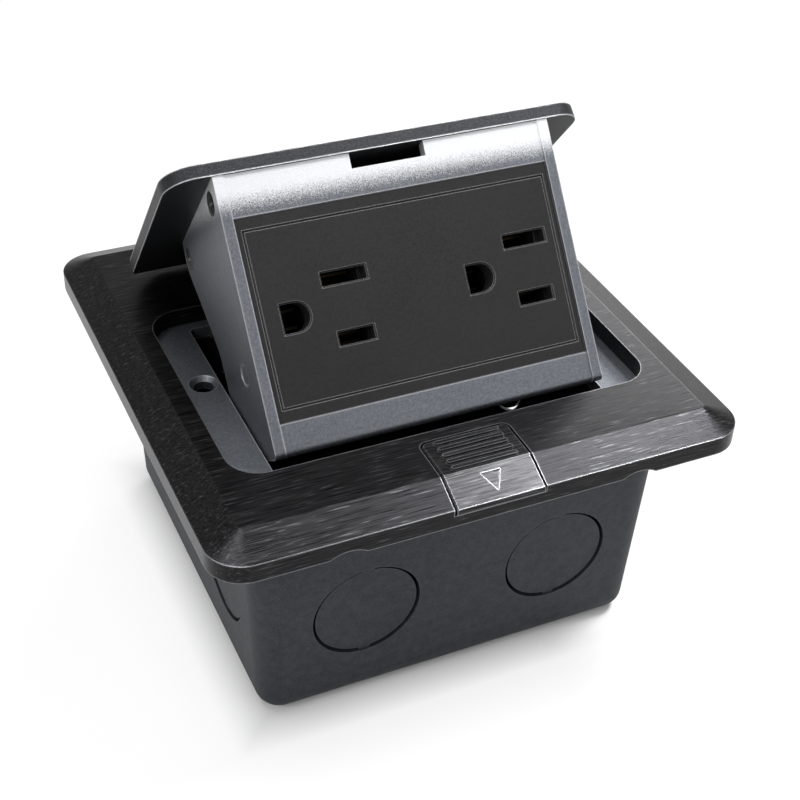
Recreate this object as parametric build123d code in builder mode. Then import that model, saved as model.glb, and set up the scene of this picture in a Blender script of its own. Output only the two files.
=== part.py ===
from build123d import *
from math import atan, cos, degrees, radians, sin, tan
import os

# Pop-up floor socket box, in millimetres, shown with its lid open.
# +Z is up and -Y is the front, where the button is. The origin is the centre of the back box's underside.

# Back box
BOX_FOOT = 92.6
BOX_RIM = 97.6
BOX_HEIGHT = 55.0
BOX_WALL = 1.5
BOX_CORNER_R = 5.5
BOX_FLOOR_R = 6.0
KNOCKOUT_D = 25.0
KNOCKOUT_X = 23.0
KNOCKOUT_Z = 26.0
KNOCKOUT_SLIT = 0.7
KNOCKOUT_TAB = 2.6
KNOCKOUT_SINK = 0.4
BASE_HOLE_D = 4.5
BASE_HOLE_PITCH = 60.0
FIXING_PITCH = 85.0
FIXING_HOLE_D = 4.6
FIXING_SINK_D = 6.4
FIXING_THREAD_D = 3.4
LUG_WIDTH = 11.0
LUG_THICKNESS = 2.5
LUG_DROP = 2.0
EARTH_X = 34.0
EARTH_Y = 34.0
EARTH_PAD_R = 4.5
EARTH_PAD_HEIGHT = 5.0

# Cover plate, its window and the frame under it
GASKET_THICKNESS = 1.0
GASKET_WIDTH = 3.4
GASKET_INSET = 0.3
PLATE_SIZE = 120.0
PLATE_CORNER_R = 8.0
PLATE_WALL = 2.0
PLATE_THICKNESS = 2.2
SKIRT_HEIGHT = 4.3
BEVEL_WIDTH = 7.2
BEVEL_RISE = 3.2
BEVEL_SOFTENING = 1.0
WINDOW_WIDTH = 96.8
WINDOW_FRONT = 38.7
WINDOW_BACK = 23.5
WINDOW_CORNER_R = 7.2
WINDOW_RIM = 1.8
BOSS_R = 2.8
BOSS_INSET = 9.5
BOSS_BORE_D = 3.0
PLATE_SCREW_HEAD = 5.6
NOTCH_X = 33.0
NOTCH_WIDTH = 8.0
NOTCH_HEIGHT = 1.2
FRAME_THICKNESS = 3.0
FRAME_EDGE_GAP = 1.0
FRAME_FRONT_INSET = 0.6
FRAME_BACK_INSET = 2.2
FRAME_CORNER_R = 1.5
SCREW_HOLE_SLACK = 0.25

# Hinge, with the lid's swing
HINGE_BEHIND_WINDOW = 9.2
HINGE_DROP = 19.8
OPEN_ANGLE = 50.6
PIN_D = 4.0
PIN_SLACK = 0.04
PIN_END = 1.6
EAR_THICKNESS = 2.5
EYE_R = 5.5
ARM_THICKNESS = 2.0
ARM_WIDTH = 9.0
ARM_GAP = 0.6
STOP_GAP = 0.4
CLIP_R = 3.6
CLIP_THICKNESS = 0.5
CLIP_GROOVE = 0.4
SPRING_WIRE = 1.2
SPRING_R = 4.0
SPRING_TURNS = 5
SPRING_PITCH = 1.45
SPRING_TAB = 2.0

# Lid and module
LID_GAP = 0.5
LID_BACK_GAP = 1.4
LID_THICKNESS = 3.0
LID_RELIEF = 7.5
LID_BACK_EDGE = 0.55
LID_BACK_CORNER_R = 10.0
FACE_TILT = 13.5
FACE_SETBACK = 0.39
MODULE_WIDTH = 76.8
MODULE_HEIGHT = 58.68
MODULE_WALL = 2.4
MODULE_DEPTH_TOP = 36.0
MODULE_DEPTH_LOW = 25.0
BEZEL_THICKNESS = 2.8
BEZEL_SETBACK = 0.3
LOWER_BEZEL = 6.9
INSERT_HEIGHT = 42.7
MODULE_SEAM = 0.05
CATCH_WIDTH = 17.0
CATCH_HEIGHT = 3.3
LIP_R = 1.4

# Outlets in the face
FACE_SINK = 0.5
FLANGE_THICKNESS = 2.0
FLANGE_MARGIN = 3.4
OUTLET_PITCH = 42.4
OUTLET_SHIFT = 5.9
BLADE_PITCH = 12.7
SLOT_HEIGHT = 2.8
NEUTRAL_SLOT = 10.0
HOT_SLOT = 8.0
EARTH_OFFSET = 12.0
EARTH_HOLE = 6.1
MOUTH_CHAMFER = 0.35
GROOVE_INSET = 1.2
GROOVE_BOTTOM_INSET = 2.6
GROOVE_WIDTH = 0.5
GROOVE_DEPTH = 0.35
BODY_WIDTH = 66.0
BODY_HEIGHT = 40.0
BODY_DEPTH = 15.2
BODY_CORNER_R = 2.0
COVER_THICKNESS = 2.5
CONTACT_STRIP = 0.8
CONTACT_WIDTH = 5.0
CONTACT_LEAF = 0.6
CONTACT_GAP = 1.6
LEAF_SINK = 4.0
CELL_SLACK = 0.5
TERMINAL_OUT = 5.6
TERMINAL_PITCH = 9.0
TERMINAL_X = 3.0
TERMINAL_PAD = 7.0

# Latch
BUTTON_WIDTH = 20.0
BUTTON_GAP = 0.4
BUTTON_CORNER_R = 1.5
BUTTON_EDGE = 0.3
BUTTON_BACK = 42.0
BUTTON_THICKNESS = 2.0
BUTTON_PROUD = 0.2
BUTTON_LIP = 1.3
BUTTON_TRAVEL = 2.5
RIB_PITCH = 2.1
RIB_WIDTH = 1.1
RIB_LENGTH = 15.0
RIB_HEIGHT = 0.5
RIB_COUNT = 5
ARROW_SIZE = 4.5
ARROW_DEPTH = 0.3
SLIDE_THICKNESS = 1.8
SLIDE_WIDTH = 15.0
SLIDE_GAP = 0.2
SLIDE_WING = 5.5
SLIDE_FRONT = 54.4
TONGUE_REACH = 2.5
WING_BACK = 41.6
WING_DEPTH = 2.0
LATCH_SPRING_R = 1.1
LATCH_SPRING_WIRE = 0.4
LATCH_SPRING_TURNS = 6

# Heights and places that follow
frame_bottom = BOX_HEIGHT + GASKET_THICKNESS
frame_top = frame_bottom + FRAME_THICKNESS
plate_edge = frame_bottom + SKIRT_HEIGHT
plate_top = plate_edge + BEVEL_RISE
box_slope = atan((BOX_RIM - BOX_FOOT) / 2 / BOX_HEIGHT)
bevel_angle = degrees(atan(BEVEL_WIDTH / BEVEL_RISE))
window_length = WINDOW_FRONT + WINDOW_BACK
window_y = (WINDOW_BACK - WINDOW_FRONT) / 2
plate_half = PLATE_SIZE / 2
boss_at = plate_half - BOSS_INSET
frame_half = plate_half - PLATE_WALL - FRAME_EDGE_GAP
module_half = MODULE_WIDTH / 2
frame_front = WINDOW_FRONT + FRAME_FRONT_INSET
frame_back = WINDOW_BACK - FRAME_BACK_INSET
hinge_y = WINDOW_BACK + HINGE_BEHIND_WINDOW
hinge_z = plate_top - HINGE_DROP
insert_half = module_half - MODULE_WALL - MODULE_SEAM
arm_out = module_half - MODULE_WALL
arm_in = arm_out - ARM_THICKNESS
ear_in = arm_out + ARM_GAP
ear_out = ear_in + EAR_THICKNESS
corner_squares = [(x, y) for x in (-boss_at, boss_at) for y in (-boss_at, boss_at)]


def box_half(z):
    """Half the back box's outside width at a height."""
    return BOX_FOOT / 2 + z * tan(box_slope)


def turned(y, z, angle):
    """A point of the side view turned about the hinge."""
    dy, dz = y - hinge_y, z - hinge_z
    c, s = cos(radians(angle)), sin(radians(angle))
    return hinge_y + dy * c - dz * s, hinge_z + dy * s + dz * c


# The module's face runs down from the front of the lid's underside. Face coordinates are the depth
# behind the face and the height up it from the lower lip, and they swing with the lid.
lid_front = -WINDOW_FRONT + LID_GAP
lid_length = window_length - LID_GAP - LID_BACK_GAP
lid_bottom = plate_top - LID_THICKNESS
tilt = radians(FACE_TILT)
foot_y = lid_front + FACE_SETBACK + MODULE_HEIGHT * sin(tilt)
foot_z = lid_bottom - MODULE_HEIGHT * cos(tilt)
lean = radians(OPEN_ANGLE - FACE_TILT)


def face_place(y, z):
    """Face coordinates of a side-view point, with the lid shut."""
    dy, dz = y - foot_y, z - foot_z
    return dy * cos(tilt) + dz * sin(tilt), dz * cos(tilt) - dy * sin(tilt)


def under_lid(d):
    """Height of the lid's underside in face coordinates, at a depth."""
    return MODULE_HEIGHT - d * tan(tilt)


FACE = Plane(
    origin=(0, *turned(foot_y, foot_z, -OPEN_ANGLE)),
    x_dir=(1, 0, 0),
    z_dir=(0, -cos(lean), sin(lean)),
)
LID = Plane(
    origin=(0, *turned(lid_front, plate_top, -OPEN_ANGLE)),
    x_dir=(1, 0, 0),
    z_dir=(0, sin(radians(OPEN_ANGLE)), cos(radians(OPEN_ANGLE))),
)
hinge_d, hinge_t = face_place(hinge_y, hinge_z)
stop_d, stop_t = face_place(*turned(frame_back, frame_bottom, OPEN_ANGLE))


def behind_face(depth):
    """A plane along the face, at a depth behind it."""
    return FACE.offset(-depth)


def side_view(x):
    """A plane across the module for side profiles, in depth and height up the face."""
    return Plane(origin=FACE.origin + Vector(x, 0, 0), x_dir=-FACE.z_dir, z_dir=(1, 0, 0))


def add_screw(seat, head_r, head_height, shank_r, length, sunk=False, slot=False):
    """A screw in the current part. The seat faces along the screw, from its head to its tip."""
    top = 0 if sunk else -head_height
    half = Plane(origin=seat.origin, x_dir=seat.x_dir, z_dir=-seat.y_dir)
    with BuildSketch(half) as profile:
        with BuildLine():
            if sunk:
                Polyline((0, 0), (head_r, 0), (shank_r, head_height), (shank_r, length), (0, length), (0, 0))
            else:
                Polyline(
                    (0, top),
                    (head_r * 0.8, top),
                    (head_r, top / 2),
                    (head_r, 0),
                    (shank_r, 0),
                    (shank_r, length),
                    (0, length),
                    (0, top),
                )
        make_face()
    revolve(profile.sketch, axis=Axis(seat.origin, seat.z_dir))
    with BuildSketch(seat.offset(top)) as recess:
        Rectangle(head_r * (2.2 if slot else 1.1), head_r * 0.25)
        if not slot:
            Rectangle(head_r * 0.25, head_r * 1.1)
    extrude(recess.sketch, amount=head_height * 0.5, mode=Mode.SUBTRACT)


parts = []


def finish(piece, name):
    """Labels a finished piece and writes its file."""
    piece.part.label = name
    export_step(piece.part, f"parts/{name}.step")
    parts.append(piece.part)


os.makedirs("parts", exist_ok=True)

# Back box: a tapered pressing with knock-outs in its four walls
def on_wall(turn, x, z):
    """A plane on the outside of a wall of the back box, at a place on that wall."""
    c, s = cos(radians(turn)), sin(radians(turn))
    out = box_half(z)
    return Plane(
        origin=(x * c + out * s, x * s - out * c, z),
        x_dir=(c, s, 0),
        z_dir=(cos(box_slope) * s, -cos(box_slope) * c, -sin(box_slope)),
    )


knockout_faces = [
    on_wall(turn, x, KNOCKOUT_Z) for turn in (0, 90, 180, 270) for x in (-KNOCKOUT_X, KNOCKOUT_X)
]
lug_top = BOX_HEIGHT - LUG_DROP
lug_in = ear_out + LID_GAP
lug_length = box_half(lug_top) - BOX_WALL / 2 - lug_in
with BuildPart() as back_box:
    with BuildSketch():
        RectangleRounded(BOX_FOOT, BOX_FOOT, BOX_CORNER_R)
    extrude(amount=BOX_HEIGHT, taper=-degrees(box_slope))
    fillet(back_box.faces().sort_by(Axis.Z)[0].edges(), BOX_FLOOR_R - 1)
    with BuildSketch(Plane.XY.offset(BOX_WALL)):
        inner = 2 * (box_half(BOX_WALL) - BOX_WALL)
        RectangleRounded(inner, inner, BOX_CORNER_R - BOX_WALL)
    extrude(amount=BOX_HEIGHT, taper=-degrees(box_slope), mode=Mode.SUBTRACT)
    floor_edges = back_box.edges().filter_by_position(Axis.Z, BOX_WALL - 0.01, BOX_WALL + 0.01)
    fillet(floor_edges, BOX_FLOOR_R - 1 - BOX_WALL)
    with BuildSketch(*[face.offset(1) for face in knockout_faces]):
        Circle(KNOCKOUT_D / 2)
    extrude(amount=-BOX_WALL - 2, mode=Mode.SUBTRACT)
    with BuildSketch(*[face.offset(-KNOCKOUT_SINK) for face in knockout_faces]):
        Circle(KNOCKOUT_D / 2 - KNOCKOUT_SLIT)
        Rectangle(KNOCKOUT_TAB, KNOCKOUT_D + 0.4)
    extrude(amount=KNOCKOUT_SINK - BOX_WALL)
    with BuildSketch(Plane.XY.offset(lug_top)):
        with Locations(*[(side * (lug_in + lug_length / 2), 0) for side in (-1, 1)]):
            Rectangle(lug_length, LUG_WIDTH)
        with Locations((-FIXING_PITCH / 2, 0), (FIXING_PITCH / 2, 0)):
            Circle(FIXING_THREAD_D / 2, mode=Mode.SUBTRACT)
    extrude(amount=-LUG_THICKNESS)
    with BuildSketch(Plane.XY.offset(BOX_WALL / 2)):
        with Locations((EARTH_X, EARTH_Y)):
            Circle(EARTH_PAD_R)
    extrude(amount=EARTH_PAD_HEIGHT + BOX_WALL / 2)
    with BuildSketch(Plane.XY.offset(BOX_WALL + EARTH_PAD_HEIGHT)):
        with Locations((EARTH_X, EARTH_Y)):
            Circle(1.8)
    extrude(amount=-EARTH_PAD_HEIGHT, mode=Mode.SUBTRACT)
    with BuildSketch():
        with GridLocations(BASE_HOLE_PITCH, 0, 2, 1):
            Circle(BASE_HOLE_D / 2)
    extrude(amount=BOX_WALL, mode=Mode.SUBTRACT)
finish(back_box, "back_box")

earth_seat = Plane(
    origin=(EARTH_X, EARTH_Y, BOX_WALL + EARTH_PAD_HEIGHT + 1.0), x_dir=(1, 0, 0), z_dir=(0, 0, -1)
)
with BuildPart() as earth_washer:
    with BuildSketch(earth_seat):
        Circle(4.0)
        Circle(1.95, mode=Mode.SUBTRACT)
    extrude(amount=1.0)
finish(earth_washer, "earth_washer")

with BuildPart() as earth_screw:
    add_screw(earth_seat, 3.2, 2.2, 1.7, 5.0)
finish(earth_screw, "earth_screw")

with BuildPart() as rim_gasket:
    outer = BOX_RIM - 2 * GASKET_INSET
    opening = BOX_RIM - 2 * GASKET_WIDTH
    with BuildSketch(Plane.XY.offset(BOX_HEIGHT)):
        RectangleRounded(outer, outer, BOX_CORNER_R + 2)
        RectangleRounded(opening, opening, BOX_CORNER_R, mode=Mode.SUBTRACT)
    extrude(amount=GASKET_THICKNESS)
finish(rim_gasket, "rim_gasket")

# Cover plate: skirt, bevel and flat top, hollow underneath, with a turned-down rim round the window
hollow_half = plate_half - PLATE_WALL
hollow_rise = BEVEL_RISE - PLATE_THICKNESS + 1
button_slot = BUTTON_WIDTH / 2 + BUTTON_GAP
with BuildPart() as cover_plate:
    with BuildSketch(Plane.XY.offset(frame_bottom)):
        RectangleRounded(PLATE_SIZE, PLATE_SIZE, PLATE_CORNER_R)
    extrude(amount=SKIRT_HEIGHT)
    with BuildSketch(Plane.XY.offset(plate_edge)):
        RectangleRounded(PLATE_SIZE, PLATE_SIZE, PLATE_CORNER_R)
    extrude(amount=BEVEL_RISE, taper=bevel_angle)
    fillet(cover_plate.faces().sort_by(Axis.Z)[-1].edges(), BEVEL_SOFTENING)
    with BuildSketch(Plane.XY.offset(frame_bottom)):
        RectangleRounded(2 * hollow_half, 2 * hollow_half, PLATE_CORNER_R - PLATE_WALL)
    extrude(amount=SKIRT_HEIGHT - 1, mode=Mode.SUBTRACT)
    with BuildSketch(Plane.XY.offset(plate_edge - 1)):
        RectangleRounded(2 * hollow_half, 2 * hollow_half, PLATE_CORNER_R - PLATE_WALL)
    extrude(amount=hollow_rise, taper=bevel_angle, mode=Mode.SUBTRACT)
    with BuildSketch(Plane.XY.offset(frame_top)):
        with Locations((0, window_y)):
            RectangleRounded(
                WINDOW_WIDTH + 2 * WINDOW_RIM, window_length + 2 * WINDOW_RIM, WINDOW_CORNER_R + WINDOW_RIM
            )
        with Locations(*corner_squares):
            Circle(BOSS_R)
    extrude(amount=plate_top - PLATE_THICKNESS - frame_top)
    with BuildSketch(Plane.XY.offset(frame_top)):
        with Locations((0, window_y)):
            RectangleRounded(WINDOW_WIDTH, window_length, WINDOW_CORNER_R)
    extrude(amount=plate_top - frame_top, mode=Mode.SUBTRACT)
    with BuildSketch(Plane.XY.offset(frame_top)):
        with Locations(*corner_squares):
            Circle(BOSS_BORE_D / 2)
    extrude(amount=plate_top - PLATE_THICKNESS / 2 - frame_top, mode=Mode.SUBTRACT)
    # The button's slot opens through the bevel and the top of the skirt
    with BuildSketch(Plane.XY.offset(plate_edge - BUTTON_LIP - SLIDE_GAP)):
        with Locations((0, -BUTTON_BACK + BUTTON_GAP)):
            slot_size = (2 * button_slot, plate_half)
            RectangleRounded(*slot_size, BUTTON_CORNER_R + BUTTON_GAP, align=(Align.CENTER, Align.MAX))
    extrude(amount=BEVEL_RISE + 2 * BUTTON_LIP, mode=Mode.SUBTRACT)
    # The tongue passes under the window's rim
    with BuildSketch(Plane.XY.offset(frame_top)):
        with Locations((0, -WINDOW_FRONT - WINDOW_RIM)):
            Rectangle(SLIDE_WIDTH + 4 * SLIDE_GAP, 4 * WINDOW_RIM)
    extrude(amount=SLIDE_THICKNESS / 2, mode=Mode.SUBTRACT)
    # Arched notches in the skirt's lower edge
    notch_r = ((NOTCH_WIDTH / 2) ** 2 + NOTCH_HEIGHT**2) / (2 * NOTCH_HEIGHT)
    with BuildSketch(Plane.XZ.offset(-plate_half - 1)):
        with Locations(*[(x, frame_bottom + NOTCH_HEIGHT - notch_r) for x in (-NOTCH_X, NOTCH_X)]):
            Circle(notch_r)
    extrude(amount=PLATE_SIZE + 2, mode=Mode.SUBTRACT)
finish(cover_plate, "cover_plate")

# Mounting frame: the ledge in the window, hinge ears at the back and the latch track at the front
frame_opening = module_half + LID_GAP
track_floor = frame_top - SLIDE_THICKNESS + 0.1
wing_half = SLIDE_WIDTH / 2 + SLIDE_WING
spring_x = SLIDE_WIDTH / 2 + SLIDE_WING / 2 + SLIDE_GAP
spring_front = SLIDE_FRONT - LATCH_SPRING_WIRE
spring_back = WING_BACK + WING_DEPTH + SLIDE_GAP
with BuildPart() as mounting_frame:
    with BuildSketch(Plane.XY.offset(frame_bottom)):
        RectangleRounded(2 * frame_half, 2 * frame_half, PLATE_CORNER_R - PLATE_WALL - FRAME_EDGE_GAP / 2)
        with Locations((0, (frame_back - frame_front) / 2)):
            RectangleRounded(
                2 * frame_opening, frame_front + frame_back, FRAME_CORNER_R, mode=Mode.SUBTRACT
            )
    extrude(amount=FRAME_THICKNESS)
    with Locations(*[(x, 0, frame_top) for x in (-FIXING_PITCH / 2, FIXING_PITCH / 2)]):
        CounterSinkHole(FIXING_HOLE_D / 2, FIXING_SINK_D / 2, FRAME_THICKNESS)
    with Locations(*[Plane(origin=(x, y, frame_bottom), z_dir=(0, 0, -1)) for x, y in corner_squares]):
        CounterSinkHole(BOSS_BORE_D / 2 + SCREW_HOLE_SLACK, PLATE_SCREW_HEAD / 2 + 0.1, FRAME_THICKNESS)
    for side in (-1, 1):
        with BuildSketch(Plane.YZ.offset(side * ear_in)):
            with Locations((hinge_y, (hinge_z + frame_bottom) / 2)):
                Rectangle(2 * EYE_R, frame_bottom - hinge_z)
            with Locations((hinge_y, hinge_z)):
                Circle(EYE_R)
                Circle(PIN_D / 2 + PIN_SLACK, mode=Mode.SUBTRACT)
        extrude(amount=side * EAR_THICKNESS)
    with BuildSketch(Plane.XY.offset(track_floor)):
        with Locations((0, -(frame_half + frame_front) / 2)):
            Rectangle(SLIDE_WIDTH + 2 * SLIDE_GAP, frame_half - frame_front)
        with Locations((0, -WING_BACK + SLIDE_GAP)):
            Rectangle(
                2 * (wing_half + SLIDE_GAP),
                WING_DEPTH + BUTTON_TRAVEL + 3 * SLIDE_GAP,
                align=(Align.CENTER, Align.MAX),
            )
        with Locations(*[(side * spring_x, -SLIDE_FRONT) for side in (-1, 1)]):
            Rectangle(3.2, SLIDE_FRONT - spring_back, align=(Align.CENTER, Align.MIN))
    extrude(amount=FRAME_THICKNESS, mode=Mode.SUBTRACT)
finish(mounting_frame, "mounting_frame")

with BuildPart() as plate_screws:
    for x, y in corner_squares:
        seat = Plane(origin=(x, y, frame_bottom))
        add_screw(seat, PLATE_SCREW_HEAD / 2, PLATE_SCREW_HEAD / 2 - 1.45, 1.45, 5.0, sunk=True)
finish(plate_screws, "plate_screws")

# Hinge pin along X, with a snap ring in a groove at each end
pin_half = ear_out + CLIP_THICKNESS + PIN_END
clip_in = ear_out + 0.15
with BuildPart() as hinge_pin:
    with BuildSketch(Plane.YZ.offset(-pin_half)):
        with Locations((hinge_y, hinge_z)):
            Circle(PIN_D / 2)
    extrude(amount=2 * pin_half)
    chamfer(hinge_pin.edges().filter_by(GeomType.CIRCLE), 0.4)
    for side in (-1, 1):
        with BuildSketch(Plane.YZ.offset(side * (clip_in - 0.05))):
            with Locations((hinge_y, hinge_z)):
                Circle(PIN_D)
                Circle(PIN_D / 2 - CLIP_GROOVE, mode=Mode.SUBTRACT)
        extrude(amount=side * (CLIP_THICKNESS + 0.1), mode=Mode.SUBTRACT)
finish(hinge_pin, "hinge_pin")

with BuildPart() as pin_clips:
    for side in (-1, 1):
        with BuildSketch(Plane.YZ.offset(side * clip_in)):
            with Locations((hinge_y, hinge_z)):
                Circle(CLIP_R)
                Circle(PIN_D / 2 - CLIP_GROOVE + PIN_SLACK, mode=Mode.SUBTRACT)
                mouth = PIN_D - 2 * CLIP_GROOVE
                Rectangle(mouth, CLIP_R + 1, align=(Align.CENTER, Align.MAX), mode=Mode.SUBTRACT)
        extrude(amount=side * CLIP_THICKNESS)
finish(pin_clips, "pin_clips")

# Torsion springs on the pin: one leg under the arm's tab, the other under the frame
spring_gap = 0.3
tab_in = arm_in - SPRING_TAB
coil_out = tab_in - SPRING_WIRE / 2 + 1.0
leg_lean = 50
leg_drop = SPRING_R * cos(radians(leg_lean))
back_leg = (frame_bottom - SPRING_WIRE / 2 - spring_gap - hinge_z - leg_drop) / sin(radians(leg_lean))
coil_turns = SPRING_TURNS - leg_lean / 360
coil_length = coil_turns * SPRING_PITCH
with BuildPart() as torsion_spring_right:
    coil_plane = Plane(
        origin=(coil_out - coil_length, hinge_y, hinge_z),
        x_dir=(0, -sin(radians(leg_lean)), cos(radians(leg_lean))),
        z_dir=(1, 0, 0),
    )
    coil = coil_plane.location * Edge.make_helix(SPRING_PITCH, coil_length, SPRING_R)
    start = Plane(origin=coil @ 0, z_dir=coil % 0)
    end = Plane(origin=coil @ 1, z_dir=coil % 1)
    with BuildSketch(start):
        RegularPolygon(SPRING_WIRE / 2, 8)
    sweep(path=coil, is_frenet=True)
    with BuildSketch(start):
        RegularPolygon(SPRING_WIRE / 2, 8)
    extrude(amount=-back_leg)
    with BuildSketch(end):
        RegularPolygon(SPRING_WIRE / 2, 8)
    extrude(amount=hinge_y - 13.0)
finish(torsion_spring_right, "torsion_spring_right")

with BuildPart() as torsion_spring_left:
    mirror(torsion_spring_right.part, about=Plane.YZ)
finish(torsion_spring_left, "torsion_spring_left")

# Lid: a plate that fills the window when shut, thinned behind so that it clears the window as it swings
lug_front = (5.4, 54.0)
lug_back = (33.2, 46.0)
with BuildPart() as lid:
    with BuildSketch(LID) as lid_outline:
        with Locations((0, lid_length / 2)):
            Rectangle(WINDOW_WIDTH - 2 * LID_GAP, lid_length)
        fillet(lid_outline.vertices().sort_by(Axis.Y)[:2], WINDOW_CORNER_R - LID_GAP)
        fillet(lid_outline.vertices().sort_by(Axis.Y)[-2:], LID_BACK_CORNER_R)
    extrude(amount=-LID_THICKNESS)
    relief = Plane(origin=LID.origin, x_dir=LID.y_dir, z_dir=(1, 0, 0)).offset(-plate_half)
    with BuildSketch(relief):
        with BuildLine():
            Polyline(
                (lid_length - LID_RELIEF, -LID_THICKNESS),
                (lid_length, -LID_BACK_EDGE),
                (lid_length + 1, -LID_BACK_EDGE),
                (lid_length + 1, -LID_THICKNESS - 1),
                (lid_length - LID_RELIEF, -LID_THICKNESS - 1),
                (lid_length - LID_RELIEF, -LID_THICKNESS),
            )
        make_face()
    extrude(amount=PLATE_SIZE, mode=Mode.SUBTRACT)
    for side in (-1, 1):
        for d, t in (lug_front, lug_back):
            with BuildSketch(side_view(side * arm_in)):
                with BuildLine():
                    Polyline(
                        (d - 2.4, t - 2.8),
                        (d + 2.4, t - 2.8),
                        (d + 2.4, under_lid(d + 2.4) + LID_THICKNESS / 2),
                        (d - 2.4, under_lid(d - 2.4) + LID_THICKNESS / 2),
                        (d - 2.4, t - 2.8),
                    )
                make_face()
                with Locations((d, t)):
                    Circle(1.4, mode=Mode.SUBTRACT)
            extrude(amount=side * ARM_THICKNESS)
finish(lid, "lid")

# Module frame: two side walls joined by the lower lip and the upper bezel
rivet_places = [(9.2, 18.3), (18.0, 7.6)]
bezel_low = LOWER_BEZEL + INSERT_HEIGHT
fixing_places = [(x, t) for x in (-29, 29) for t in (LOWER_BEZEL - 1.7, bezel_low + 1.7)]
with BuildPart() as module_frame:
    for side in (-1, 1):
        with BuildSketch(side_view(side * arm_out)):
            with BuildLine():
                FilletPolyline(
                    (0, 0),
                    (0, MODULE_HEIGHT),
                    (MODULE_DEPTH_TOP, under_lid(MODULE_DEPTH_TOP)),
                    (MODULE_DEPTH_TOP, 43.5),
                    (MODULE_DEPTH_LOW, 24.0),
                    (MODULE_DEPTH_LOW, 5.0),
                    (19.0, 0),
                    radius=(LIP_R, 0, 0, 6, 12, 3, 3),
                    close=True,
                )
            make_face()
        extrude(amount=side * MODULE_WALL)
    bars = side_view(-arm_out)
    with BuildSketch(bars):
        with BuildLine():
            FilletPolyline(
                (BEZEL_SETBACK, 0),
                (BEZEL_SETBACK, LOWER_BEZEL),
                (BEZEL_THICKNESS, LOWER_BEZEL),
                (BEZEL_THICKNESS, 2.2),
                (19.0, 2.2),
                (19.0, 0),
                radius=(LIP_R, 0, 0, 0, 0, 0),
                close=True,
            )
        make_face()
        with BuildLine():
            Polyline(
                (BEZEL_SETBACK, bezel_low),
                (BEZEL_SETBACK, under_lid(BEZEL_SETBACK)),
                (BEZEL_THICKNESS, under_lid(BEZEL_THICKNESS)),
                (BEZEL_THICKNESS, bezel_low),
                (BEZEL_SETBACK, bezel_low),
            )
        make_face()
    extrude(amount=2 * arm_out)
    # Catch for the tongue, screw seats and rivet holes
    with BuildSketch(FACE):
        with Locations((0, MODULE_HEIGHT - CATCH_HEIGHT)):
            Rectangle(CATCH_WIDTH, 2 * CATCH_HEIGHT, align=(Align.CENTER, Align.MIN))
    extrude(amount=-BEZEL_THICKNESS, mode=Mode.SUBTRACT)
    with BuildSketch(behind_face(BEZEL_THICKNESS)):
        with Locations(*fixing_places):
            Circle(1.25)
    extrude(amount=BEZEL_THICKNESS - 0.9, mode=Mode.SUBTRACT)
    for side in (-1, 1):
        outside = Plane(origin=side_view(side * module_half).origin, x_dir=-FACE.z_dir, z_dir=(side, 0, 0))
        with Locations(outside):
            with Locations(*[(d, side * t) for d, t in (lug_front, lug_back)]):
                CounterSinkHole(1.6, 2.7, MODULE_WALL)
            with Locations(*[(d, side * t) for d, t in rivet_places]):
                CounterSinkHole(1.55, 2.5, MODULE_WALL)
finish(module_frame, "module_frame")

screw_seats = {
    side: Plane(origin=side_view(side * module_half).origin, x_dir=-FACE.z_dir, z_dir=(-side, 0, 0))
    for side in (-1, 1)
}
with BuildPart() as lid_screws:
    for side, seat in screw_seats.items():
        for d, t in (lug_front, lug_back):
            place = seat.origin - FACE.z_dir * d + FACE.y_dir * t
            add_screw(Plane(origin=place, x_dir=seat.x_dir, z_dir=seat.z_dir), 2.6, 1.2, 1.35, 4.2, sunk=True)
finish(lid_screws, "lid_screws")

# Hinge arms: flat arms inside the side walls, from the module to the pin
arm_top = stop_t - STOP_GAP
arm_low = arm_top - ARM_WIDTH
for side, name in ((-1, "hinge_arm_left"), (1, "hinge_arm_right")):
    with BuildPart() as hinge_arm:
        with BuildSketch(side_view(side * arm_in)):
            with BuildLine():
                FilletPolyline(
                    (5.6, 5.0),
                    (5.6, arm_top),
                    (stop_d, arm_top),
                    (hinge_d, hinge_t + EYE_R),
                    (hinge_d, hinge_t - EYE_R),
                    (24.0, arm_low),
                    (21.0, 5.0),
                    radius=(3, 3, 8, 0, 0, 8, 4),
                    close=True,
                )
            make_face()
            with Locations((hinge_d, hinge_t)):
                Circle(EYE_R)
                Circle(PIN_D / 2 + PIN_SLACK, mode=Mode.SUBTRACT)
            with Locations(*rivet_places):
                Circle(1.55, mode=Mode.SUBTRACT)
        extrude(amount=side * ARM_THICKNESS)
        # Tab that the torsion spring lifts
        with BuildSketch(side_view(side * tab_in)):
            with Locations((stop_d - 1.0, arm_low + 2.0)):
                Rectangle(3.0, 1.6)
        extrude(amount=side * (SPRING_TAB + ARM_THICKNESS / 2))
    finish(hinge_arm, name)

with BuildPart() as arm_rivets:
    for side, seat in screw_seats.items():
        for d, t in rivet_places:
            place = seat.origin - FACE.z_dir * d + FACE.y_dir * t
            rivet = Plane(origin=place, x_dir=seat.x_dir, z_dir=seat.z_dir)
            half = Plane(origin=rivet.origin, x_dir=rivet.x_dir, z_dir=-rivet.y_dir)
            grip = MODULE_WALL + ARM_THICKNESS
            with BuildSketch(half):
                with BuildLine():
                    Polyline(
                        (0, 0.2),
                        (2.3, 0.2),
                        (1.5, 1.1),
                        (1.5, grip),
                        (2.6, grip),
                        (2.0, grip + 0.8),
                        (0, grip + 0.8),
                        (0, 0.2),
                    )
                make_face()
            revolve(axis=Axis(rivet.origin, rivet.z_dir))
finish(arm_rivets, "arm_rivets")

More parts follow.
